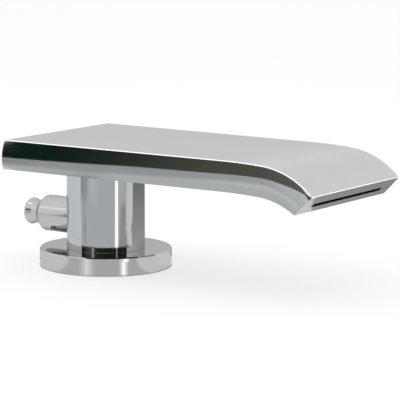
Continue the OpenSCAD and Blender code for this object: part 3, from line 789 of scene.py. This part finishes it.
@dataclass
class Column:
    """The polished tube and the cover disc on the deck."""

    tube_radius: float = 20.7
    tube_bore: float = 19.0
    tube_low: float = 9.7
    tube_high: float = 53.5
    disc_radius: float = 35.0
    disc_rim: float = 2.6
    disc_top: float = 2.2
    disc_hole: float = 18.75
    disc_edge: float = 0.6
    bonnet_hole: float = 9.72
    bonnet_height: float = 24.3
    drill_length: float = 30.0
    round_share: float = 0.995

    def tube(self) -> Piece:
        """Build the tube with the hole that the bonnet passes through.

        Returns:
            The tube.
        """
        tube = Turning("column_tube", [
            (self.tube_bore, self.tube_low, 0.15), (self.tube_radius, self.tube_low, 0.15),
            (self.tube_radius, self.tube_high, 0.15), (self.tube_bore, self.tube_high, 0.15)],
            segments=224).piece()
        drill = Turning("bonnet_drill", [
            (0, 0, 0), (self.bonnet_hole, 0, 0), (self.bonnet_hole, self.drill_length, 0),
            (0, self.drill_length, 0)], segments=96)
        cut(tube, [drill.piece(Diverter.placed(self.bonnet_height))])
        for face in tube.data.polygons:
            face.use_smooth = True
        self.true_round(tube.data)
        return tube

    def true_round(self, data: bpy.types.Mesh) -> None:
        """Give the tube's round faces exact radial normals.

        Args:
            data: the tube's mesh.
        """
        normals: list[Vector] = []
        for face in data.polygons:
            facing = face.normal.dot(Vector((*face.center[:2], 0)).normalized())
            for index in face.vertices:
                radial = Vector((*data.vertices[index].co[:2], 0)).normalized()
                normals.append(radial * math.copysign(1, facing)
                               if abs(facing) > self.round_share else face.normal.copy())
        data.normals_split_custom_set(normals)

    def disc(self) -> Piece:
        """Build the cover disc with the chamfer along its polished edge.

        Returns:
            The disc.
        """
        inner = self.disc_radius - self.disc_rim
        low, high = self.tube_low - self.disc_top, self.tube_low
        disc = Turning("cover_disc", [
            (self.disc_hole, low, 0.2),
            (inner, low, 0.5),
            (inner, 0.0, 0.2),
            (self.disc_radius, 0.0, 0.25),
            (self.disc_radius, high - self.disc_edge, 0.12),
            (self.disc_radius - self.disc_edge, high, 0.12),
            (self.disc_hole, high, 0.1)], segments=256).piece()
        smooth(disc)
        return disc

    def build(self) -> None:
        """Make both pieces and put them on the spout's body."""
        for piece, finish, slot, node in (
                (self.tube(), Wardrobe.TUBE, Slot.COLUMN, "column_sleeve"),
                (self.disc(), Wardrobe.DISC, Slot.FLANGE, "base_flange")):
            fit(piece, finish, Body.SPOUT, slot, node)


@dataclass
class Diverter:
    """The fixed bonnet and the knob that pulls out of it, along -X."""

    height: float = 24.3
    bonnet_radius: float = 9.67
    bonnet_seat: float = 18.0
    cone_start: float = 38.3
    bonnet_end: float = 41.7
    nose: float = 6.75
    bore: float = 6.35
    spring_room: float = 8.2
    spring_room_start: float = 19.5
    spring_room_end: float = 38.0
    spigot: float = 8.95
    spigot_bore: float = 7.2
    spigot_end: float = 14.5
    neck: float = 6.3
    rim: float = 7.15
    flare_start: float = 45.9
    rim_at: float = 48.4
    knob_end: float = 50.3
    knob_start: float = 30.0
    dimple: float = 4.6
    dimple_floor: float = 3.9
    dimple_depth: float = 0.18
    dimple_centre: float = 0.2
    spindle: float = 3.0
    thread: float = 2.5
    thread_start: float = 39.0
    thread_end: float = 45.0

    @staticmethod
    def placed(height: float) -> Matrix:
        """Return the move that turns +Z to point along the knob."""
        return Matrix.Translation((0, 0, height)) @ Matrix.Rotation(math.radians(-90), 4, "Y")

    def bonnet(self) -> Turning:
        """Lay out the bonnet with its cone and eased edges.

        Returns:
            The bonnet's profile.
        """
        return Turning("diverter_bonnet", [
            (self.spigot_bore, self.spigot_end, 0.1),
            (self.spigot, self.spigot_end, 0.2),
            (self.spigot, self.bonnet_seat, 0),
            (self.bonnet_radius, self.bonnet_seat, 0.1),
            (self.bonnet_radius, self.cone_start, 1.5),
            (self.nose, self.bonnet_end, 0.35),
            (self.bore, self.bonnet_end, 0.1),
            (self.bore, self.spring_room_end, 0.05),
            (self.spring_room, self.spring_room_end, 0.2),
            (self.spring_room, self.spring_room_start, 0),
            (self.spigot_bore, self.spring_room_start, 0)], segments=128, arc_steps=6)

    def knob(self) -> Turning:
        """Lay out the knob: a neck that flares to a rounded end.

        Returns:
            The knob's profile.
        """
        return Turning("pull_knob", [
            (self.spindle, self.knob_start, 0.1),
            (self.neck, self.knob_start, 0.3),
            (self.neck, self.flare_start, 1.6),
            (self.rim, self.rim_at, 0.8),
            (self.rim, self.knob_end, 1.7),
            (self.dimple, self.knob_end, 0.6),
            (self.dimple_floor, self.knob_end - self.dimple_depth, 0.6),
            (0, self.knob_end - self.dimple_centre, 0),
            (0, self.thread_end, 0),
            (self.thread, self.thread_end, 0.1),
            (self.thread, self.thread_start, 0.1),
            (self.spindle, self.thread_start, 0.1)], segments=128, arc_steps=8)

    def build(self) -> None:
        """Make both pieces, the bonnet fixed and the knob on the moving body."""
        for turning, body, node in ((self.bonnet(), Body.SPOUT, "bonnet"),
                                    (self.knob(), Body.DIVERTER, "diverter_knob")):
            piece = turning.piece(self.placed(self.height))
            smooth(piece, 40.0)
            fit(piece, Wardrobe.SATIN, body, Slot.KNOB, node)


@dataclass
class Works:
    """The CAD nodes that stay as they are, listed under their finishes."""

    finishes: tuple[tuple[Finish, tuple[str, ...]], ...] = (
        (Wardrobe.CHROME, ("under_plate",)),
        (Wardrobe.STEEL, ("under_plate_screws", "locating_pins", "spindle", "retaining_clip")),
        (Wardrobe.POLYMER, ("channel_tray", "channel_lid", "flow_spreader", "flow_comb")),
        (Wardrobe.RUBBER, ("channel_gasket", "lid_pads", "riser_o_ring", "deck_seal",
                           "gland_o_ring", "spindle_o_ring", "valve_washers")),
        (Wardrobe.OUTLET, ("nozzle_insert",)),
        (Wardrobe.BRASS, ("hollow_bolt", "spacer_ring", "column_core", "gland_bush",
                          "seat_cage", "valve_disc", "valve_nut", "spring_collar")),
        (Wardrobe.FIBRE, ("bolt_washer",)),
        (Wardrobe.SPRING, ("return_spring",)))

    def build(self, frame: dict) -> None:
        """Dress every node that no piece replaces.
        """
        for finish, nodes in self.finishes:
            for name in nodes:
                dress(frame["nodes"][name], finish)
            LOG.info("%s: %s", finish.name, ", ".join(nodes))


# Studio

class Table:
    """Numbers that run straight between stops."""

    def __init__(self, *stops: tuple[float, ...]) -> None:
        """Keep the stops, each a place and its numbers, in rising order of place."""
        self.stops = stops

    def row(self, place: float) -> tuple[float, ...]:
        """Read all the numbers at a place.

        Args:
            place: the place, which may lie beyond the stops.

        Returns:
            The numbers there.
        """
        place = min(max(place, self.stops[0][0]), self.stops[-1][0])
        low, high = next(pair for pair in zip(self.stops, self.stops[1:]) if place <= pair[1][0])
        share = (place - low[0]) / (high[0] - low[0])
        return tuple(a + share * (b - a) for a, b in zip(low[1:], high[1:]))

    def at(self, place: float) -> float:
        """Read the first number at a place."""
        return self.row(place)[0]


@dataclass
class Card:
    """A studio card that only reflections show, shaded from corner to corner.

    A point's shade is a colour or a level of grey.
    """

    name: str
    rows: Sequence[Sequence[tuple[Vector, Colour | float]]]

    @classmethod
    def plain(cls, name: str, level: float, rows: Rows) -> "Card":
        """Return a card of one level of grey."""
        return cls(name, [[(spot, level) for spot in row] for row in rows])

    def build(self) -> None:
        """Build the card and hide it from the camera, diffuse light, shadows and transmission."""
        spots = [[spot for spot, _ in row] for row in self.rows]
        card = Form(self.name).patch(spots).piece(welded=False)
        layer = card.data.color_attributes.new("shade", "FLOAT_COLOR", "POINT")
        for entry, shade in zip(layer.data, (shade for row in self.rows for _, shade in row)):
            entry.color = (*(shade if isinstance(shade, tuple) else (shade,) * 3), 1.0)
        material = bpy.data.materials.new(self.name)
        sheet = NodeSheet(material)
        paint = sheet.add("VertexColor", layer_name="shade")
        sheet.add("OutputMaterial", sheet.add("Emission", Color=paint, Strength=1.0))
        card.data.materials.append(material)
        card.visible_camera = False
        card.visible_diffuse = False
        card.visible_shadow = False
        card.visible_transmission = False


@dataclass(frozen=True)
class Streak:
    """A bright streak on the floor, brightest along its middle line: a painted highlight, a
    glowing card that only reflections show.

    It runs through a point under a heading in degrees, from its near to its far distance,
    and opens by the spread, in degrees, to each side.
    """

    name: str
    heading: float
    through: Point2
    near: float
    far: float
    spread: float
    glow: float
    fall: float = 1.6
    rim: float = 0.66
    height: float = 0.5

    def build(self) -> None:
        """Lay the streak as a card."""
        start, rows = Vector((*self.through, self.height)), []
        for lean in span(-1, 1, 12):
            level = self.rim + (self.glow - self.rim) * (1 - abs(lean)) ** self.fall
            rows.append([(start + polar(reach, self.heading + self.spread * lean, 0.0), level)
                         for reach in (self.near, self.far)])
        Card(self.name, rows).build()


@dataclass
class WallCards:
    """Cards on a round wall about the spout; angles in degrees, then heights or shades."""

    radius: float = 600.0
    centre: Colour = (50.0, 0.0, 0.0)
    foot: float = 0.1
    curtain_ends: Point2 = (-132.0, 10.0)
    hem: Table = Table(
        (-132, 0), (-129.2, 1), (-126.9, 8), (-124.6, 19), (-121.6, 38), (-118.7, 46),
        (-115.9, 52), (-113.2, 66), (-111.2, 73), (-105.9, 84), (-101.8, 106), (-96.8, 125),
        (-93.4, 134), (-92.6, 72), (10, 72))
    top: Table = Table((-97, 260), (-93, 150))
    dark: Table = Table(
        (-132, 0.004, 0.018, 0.011), (-127, 0.006, 0.020, 0.013), (-122, 0.034, 0.044, 0.032),
        (-116, 0.090, 0.100, 0.080), (-106, 0.120, 0.130, 0.110), (-95, 0.16, 0.16, 0.15),
        (-85, 0.04, 0.05, 0.04), (-60, 0.02, 0.03, 0.02), (10, 0.02, 0.03, 0.02))
    skirt: Table = Table(
        (-132, 0.40, 0.42, 0.42), (-120, 0.45, 0.46, 0.47), (-111, 0.52, 0.53, 0.54),
        (-106, 0.66, 0.68, 0.69), (-98, 0.72, 0.74, 0.75), (-92, 0.86, 0.86, 0.86),
        (10, 0.86, 0.86, 0.86))
    haze_ends: Point2 = (20.0, 185.0)
    haze_fade: Table = Table((20, 1), (70, 0), (155, 0), (185, 1))
    haze_levels: tuple[Point2, ...] = ((0.1, 0.62), (105.0, 0.74), (140.0, 0.80), (230.0, 1.0))
    glint_angles: Point2 = (-25.6, -22.6)
    glint_heights: Point2 = (40.0, 170.0)
    glint_level: float = 0.9
    glint_share: float = 0.99

    def wall(self, angle: float, height: float) -> Vector:
        """Return a point of the wall."""
        return Vector(self.centre) + polar(self.radius, angle, height)

    def curtain(self) -> None:
        """Hang the dark curtain in front of the spout, with a lighter skirt below it."""
        upper, lower = [], []
        for angle in span(*self.curtain_ends, 94):
            low, high = self.wall(angle, self.hem.at(angle)), self.wall(angle, self.top.at(angle))
            dark, pale = self.dark.row(angle), self.skirt.row(angle)
            upper.append([(low, dark), (high, dark)])
            lower.append([(self.wall(angle, self.foot), pale), (low, pale)])
        Card("dark_curtain", upper).build()
        Card("curtain_skirt", lower).build()

    def haze(self) -> None:
        """Hang the pale grey band low behind the spout, which its top face shows."""
        rows = []
        for angle in span(*self.haze_ends, 55):
            fade = self.haze_fade.at(angle)
            rows.append([(self.wall(angle, height), level + (1.0 - level) * fade)
                         for height, level in self.haze_levels])
        Card("rear_haze", rows).build()

    def build(self) -> None:
        """Hang all the wall's cards, with the flange's glint just in front of it."""
        self.curtain()
        self.haze()
        Card.plain("foot_glint", self.glint_level,
                   [[self.wall(angle, height) * self.glint_share
                     for height in self.glint_heights] for angle in self.glint_angles]).build()


@dataclass
class FloorCards:
    """Cards just over the floor, by distance from the column and angle in degrees.

    The fan's tables give its two sides by distance, its levels by the angle from each side,
    the levels of its far part by angle, and how much it pales by distance. The small arcs and
    plates each have a name, level and height, then radii and angles, or places on X and Y.
    """

    fan_reach: Point2 = (60.0, 560.0)
    fan_growth: float = 1.5
    fan_height: float = 0.15
    fan_pale: float = 0.68
    fan_tint: Colour = (0.975, 1.005, 1.03)
    left: Table = Table(
        (48, -115), (77, -120.5), (122, -124.5), (197, -127.5), (260, -129.5), (620, -132))
    right: Table = Table((60, -4), (126, 0.5), (200, 4.5), (300, 8), (620, 11))
    near_left: Table = Table(
        (0, 0.76), (2.5, 0.61), (9, 0.56), (12, 0.47), (14.5, 0.47), (17.5, 0.66))
    near_right: Table = Table((0, 0.46), (15, 0.46), (19, 0.66))
    beyond: Table = Table(
        (-132, 0.36), (-127, 0.38), (-123, 0.46), (-110, 0.49), (-106, 0.60), (-102.5, 0.68),
        (-99, 0.74), (-95, 0.77), (-88, 0.76), (-70, 0.66))
    far_share: Table = Table((235, 0), (305, 1))
    paling: Table = Table((80, 1), (130, 0), (168, 0), (192, 0.6), (235, 0.6), (255, 0))
    apron_height: float = 0.3
    apron_ends: Point2 = (-178.0, 62.0)
    apron_radii: Point2 = (35.6, 48.0)
    apron_level: Table = Table(
        (-178, 0.95), (-108, 0.92), (-101, 0.68), (-50, 0.66), (-14, 0.66), (-9, 0.92),
        (12, 0.90), (34, 1))
    apron_reach: Table = Table(
        (-178, 95), (-112, 90), (-102, 64), (-30, 64), (-20, 81), (34, 82), (60, 70))
    rear_height: float = 0.25
    rear_radii: tuple[float, ...] = (84.0, 100.0, 121.0, 143.0, 170.0, 200.0, 260.0, 340.0)
    rear_edge: Table = Table(
        (90, 20.8), (121, 22), (143, 20.3), (170, 25.5), (200, 28), (330, 30))
    rear_level: Table = Table((84, 0.50), (143, 0.44), (260, 0.32), (340, 0.24))
    rear_tint: Colour = (0.97, 1.0, 0.98)
    rear_end: float = 100.0
    light_height: float = 0.1
    light_start: float = 6.0
    light_shade: Colour = (0.91, 0.92, 0.91)
    arcs: tuple = (("bonnet_shade", 0.16, 0.4, (36.0, 45.5), (-164, -188, 3)),
                   ("foot_line", 0.01, 0.6, (82.5, 87.5), (-122, 13, 45)))
    plates: tuple = (("under_shade", 0.01, 52.9, (-32.5, 52.0), (-45.4, 4.0)),
                     ("tip_glow", 2.6, 0.3, (285.0, 375.0), (185.0, 420.0)))
    # painted highlights: glowing streaks on the floor that the column and flange mirror as
    # highlight lines
    streaks: tuple[Streak, ...] = (
        Streak("long_streak", heading=-22.5, through=(0.0, -6.0), near=70.0, far=420.0,
               spread=6.5, glow=3.0),
        Streak("flange_streak", heading=-23.2, through=(9.0, -13.8), near=20.0, far=72.0,
               spread=9.0, glow=1.9),
        Streak("front_streak", heading=-87.3, through=(11.1, -14.9), near=18.0, far=70.0,
               spread=17.0, glow=1.18))

    def fan(self) -> None:
        """Lay the grey card that fans out on the floor in front: painted shade on the floor,
        which only reflections show.
        """
        rows = []
        near, reach = self.fan_reach
        for share in span(0, 1, 18):
            radius = near + reach * share ** self.fan_growth
            first, last = self.left.at(radius), self.right.at(radius)
            far, pale = self.far_share.at(radius), self.paling.at(radius)
            row = []
            for angle in span(first, last, 90):
                line = self.near_left.at(angle - first)
                line += (self.fan_pale - line) * pale
                line += (self.beyond.at(angle) - line) * far
                level = min(line, self.near_right.at(last - angle) + far)
                row.append((polar(radius, angle, self.fan_height),
                            tuple(tint * level for tint in self.fan_tint)))
            rows.append(row)
        # painted shade: a grey card that darkens the floor in front, seen only in reflections
        Card("painted_shade_fan", rows).build()

    def apron(self) -> None:
        """Lay the light ring on the floor close to the flange, with grey in front: painted light
        where the column and plate shade the floor, and painted shade in front.
        """
        rows = []
        for angle in span(*self.apron_ends, 120):
            level, outer = self.apron_level.at(angle), self.apron_reach.at(angle)
            rows.append([(polar(radius, angle, self.apron_height), level)
                         for radius in (*self.apron_radii, outer)])
        # painted light and painted shade on the floor round the flange, which only reflections
        # show
        Card("painted_light_apron", rows).build()

    def rear(self) -> None:
        """Lay the cards behind the spout: painted shadow of the spout on the column's right side,
        and painted light before it, where the plate shades the floor.
        """
        grey, light = [], []
        for radius in self.rear_radii:
            first, level = self.rear_edge.at(radius), self.rear_level.at(radius)
            shade = tuple(tint * level for tint in self.rear_tint)
            grey.append([(polar(radius, angle, self.rear_height), shade)
                         for angle in span(first, self.rear_end, 10)])
            light.append([(polar(radius, angle, self.light_height), self.light_shade)
                          for angle in span(self.light_start, first, 4)])
        # painted shadow of the spout and painted light on the floor, which only reflections show
        Card("painted_spout_shadow", grey).build()
        Card("painted_light_right", light).build()

    def marks(self) -> None:
        """Lay the small cards of one grey."""
        for name, level, height, radii, ends in self.arcs:
            Card.plain(name, level, [[polar(radius, angle, height) for radius in radii]
                                     for angle in span(*ends)]).build()
        for name, level, height, xs, ys in self.plates:
            Card.plain(name, level, [[Vector((x, y, height)) for y in ys] for x in xs]).build()

    def build(self) -> None:
        """Lay all the floor's cards."""
        self.fan()
        self.apron()
        self.rear()
        self.marks()
        for streak in self.streaks:
            streak.build()


@dataclass
class Studio:
    """Floor, cards, lamps, world and camera.

    The camera's place is in millimetres. A lamp has its name, its place and what it looks at
    in metres, its size in metres and its power in watts.
    """

    camera_place: Colour = (668.71, -902.99, 210.71)
    yaw: float = -0.5932
    pitch: float = 0.1554
    roll: float = 0.0059
    focal_pixels: float = 2151.9
    picture_pixels: float = 400.0
    sensor: float = 36.0
    clip: Point2 = (0.05, 40.0)
    floor_reach: float = 7000.0
    floor_height: float = -0.05
    floor_glow: float = 0.62
    strip_start: float = -30.0
    strip_distance: Point2 = (120.0, 110.0)
    strip_lean: float = 0.075
    strip_level: float = 2.2
    glint_centre: Colour = (-30.0, -8.0, 27.0)
    glint_distance: float = 700.0
    glint_angles: Point2 = (-138.5, -132.0)
    glint_rises: Point2 = (27.0, 37.0)
    glint_level: float = 1.3
    lamps: tuple[tuple[str, Colour, Colour, float, float], ...] = (
        ("side_lamp", (-0.60, -0.50, 1.10), (0.02, 0.0, 0.05), 0.80, 2.0),
        ("top_lamp", (0.35, -0.35, 1.60), (0.05, 0.0, 0.05), 0.90, 3.0))

    def camera(self) -> None:
        """Place the camera where the photograph was taken from."""
        data = bpy.data.cameras.new("camera")
        data.sensor_width = self.sensor
        data.lens = self.focal_pixels * self.sensor / self.picture_pixels
        data.clip_start, data.clip_end = self.clip
        camera = bpy.data.objects.new("camera", data)
        camera.matrix_world = (Matrix.Translation(Vector(self.camera_place) * MM)
                               @ Matrix.Rotation(-self.yaw, 4, "Z")
                               @ Matrix.Rotation(math.pi / 2 - self.pitch, 4, "X")
                               @ Matrix.Rotation(self.roll, 4, "Z"))
        bpy.context.scene.collection.objects.link(camera)
        bpy.context.scene.camera = camera

    def floor(self) -> None:
        """Lay a plain pale floor that keeps the object's shadow."""
        line = span(-self.floor_reach, self.floor_reach, 8)
        grid = [[Vector((x, y, self.floor_height)) for x in line] for y in line]
        floor = Form("floor").patch(grid).piece()
        if floor.data.polygons[0].normal.z < 0:
            floor.data.flip_normals()
        material = bpy.data.materials.new("pale_floor")
        sheet = NodeSheet(material)
        tone = sheet.ramp(sheet.noise(scale=3.0, detail=2.0),
                          ((0.2, (0.80, 0.80, 0.80)), (0.8, (0.82, 0.82, 0.82))))
        matt = sheet.add("BsdfPrincipled", Base_Color=tone, Roughness=0.9,
                         Specular_IOR_Level=0.1)
        glow = sheet.add("Emission", Color=(1.0, 1.0, 1.0, 1.0), Strength=1.1)
        seen = sheet.add("LightPath").outputs["Is Camera Ray"]
        share = sheet.add("Math", seen, self.floor_glow, operation="MULTIPLY")
        sheet.add("OutputMaterial", sheet.add("MixShader", share, matt, glow))
        floor.data.materials.append(material)

    def world(self) -> None:
        """Light the object evenly, with a white background for sight and reflections."""
        world = bpy.data.worlds.new("studio")
        bpy.context.scene.world = world
        sheet = NodeSheet(world)
        rays = sheet.add("LightPath").outputs
        seen = sheet.add("Math", rays["Is Camera Ray"], rays["Is Glossy Ray"],
                         operation="MAXIMUM")
        clear = sheet.add("Math", seen, rays["Is Transmission Ray"], operation="MAXIMUM")
        light = sheet.add("Background", Color=(0.97, 0.985, 1.0, 1.0), Strength=0.95)
        white = sheet.add("Background", Color=(1.0, 1.0, 1.0, 1.0), Strength=1.0)
        sheet.add("OutputWorld", sheet.add("MixShader", clear, light, white))

    def lights(self) -> None:
        """Add the soft square lamps, which reflections don't show."""
        for name, place, target, size, power in self.lamps:
            data = bpy.data.lights.new(name, "AREA")
            data.shape, data.size, data.energy = "SQUARE", size, power
            lamp = bpy.data.objects.new(name, data)
            lamp.location = place
            way = Vector(target) - Vector(place)
            lamp.rotation_euler = way.to_track_quat("-Z", "Y").to_euler()
            lamp.visible_glossy = False
            bpy.context.scene.collection.objects.link(lamp)
            LOG.info("studio: %s", name)

    def edge_strip(self, spout: Spout) -> None:
        """Hang a strip light where the spout's long front edge mirrors it to the camera.

        Args:
            spout: the spout, whose edge it follows.
        """
        rows = []
        near, growth = self.strip_distance
        for share in span(0, 1, 60):
            place = self.strip_start + (spout.path.length - self.strip_start) * share
            up = spout.path.frame(place)[1]
            edge = spout.path.point(place, 0.0, -spout.half(place, 0.0))
            normal = Vector((up.x, -1.0, up.y)).normalized()
            ray = (edge - Vector(self.camera_place)).normalized()
            back = ray - 2.0 * ray.dot(normal) * normal
            across = back.cross(Vector((up.y, 0.0, -up.x))).normalized()
            rows.append([edge + (near + growth * share) * (back + lean * across)
                         for lean in (-self.strip_lean, self.strip_lean)])
        Card.plain("edge_strip", self.strip_level, rows).build()

    def bonnet_glint(self) -> None:
        """Hang the soft light that the bonnet shows."""
        rows = []
        for angle in self.glint_angles:
            rows.append([Vector(self.glint_centre)
                         + self.glint_distance * polar(math.cos(rise), angle, math.sin(rise))
                         for rise in map(math.radians, self.glint_rises)])
        Card.plain("bonnet_glint", self.glint_level, rows).build()

    def build(self, spout: Spout) -> None:
        """Set up everything round the object.

        Args:
            spout: the spout, whose long edge a strip light follows.
        """
        bpy.context.scene.view_settings.view_transform = "Standard"
        self.camera()
        self.floor()
        self.world()
        WallCards().build()
        FloorCards().build()
        self.edge_strip(spout)
        self.bonnet_glint()
        self.lights()


def main() -> None:
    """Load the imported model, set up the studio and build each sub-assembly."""
    logging.basicConfig(level=logging.INFO, format="%(name)s %(message)s")
    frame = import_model()
    spout = Spout()
    Studio().build(spout)
    spout.build()
    Column().build()
    Diverter().build()
    Works().build(frame)


if __name__ == "__main__":
    main()
